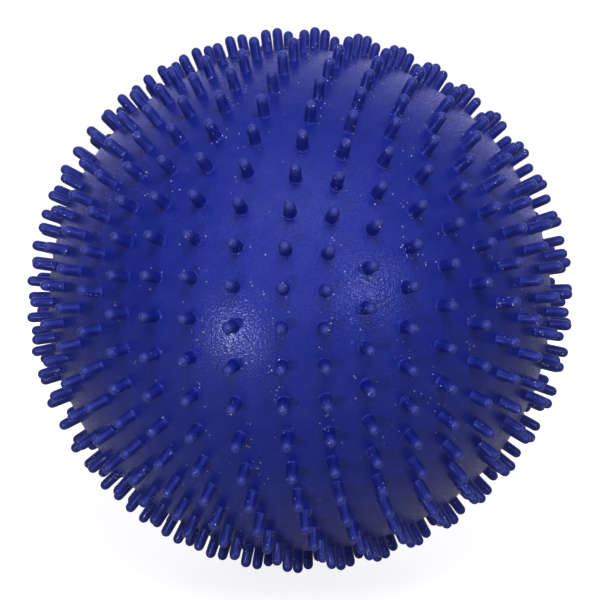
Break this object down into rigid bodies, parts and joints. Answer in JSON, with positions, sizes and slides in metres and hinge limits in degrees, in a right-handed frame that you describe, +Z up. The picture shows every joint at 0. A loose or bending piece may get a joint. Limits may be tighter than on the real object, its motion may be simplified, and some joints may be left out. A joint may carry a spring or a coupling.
{
  "type": "massage ball",
  "caption": "Hollow soft PVC ball covered in rings of short moulded pins, with a flush pull-out air stopper in a moulded-in valve seat.",
  "frame": {"origin": "centre of the ball", "axes": "+Z up, +X along the axis that the rings of pins run round, away from the valve; the mould parts at X = 0 and the valve is at the -X pole"},
  "size_m": [0.1977, 0.1996, 0.1996],
  "materials": {
    "skin_pvc": "satin moulded soft PVC, deep blue",
    "seat_pvc": "firmer moulded PVC, deep blue",
    "stopper_plastic": "natural white moulded plastic"
  },
  "bodies": {
    "ball": {"pinned_skin": "skin_pvc", "valve_seat": "seat_pvc"},
    "stopper": {"stopper": "stopper_plastic"}
  },
  "joints": [
    {"name": "stopper_pull", "type": "slide", "parent": "ball", "child": "stopper", "axis": [-1, 0, 0], "range_m": [0, 0.014]}
  ]
}
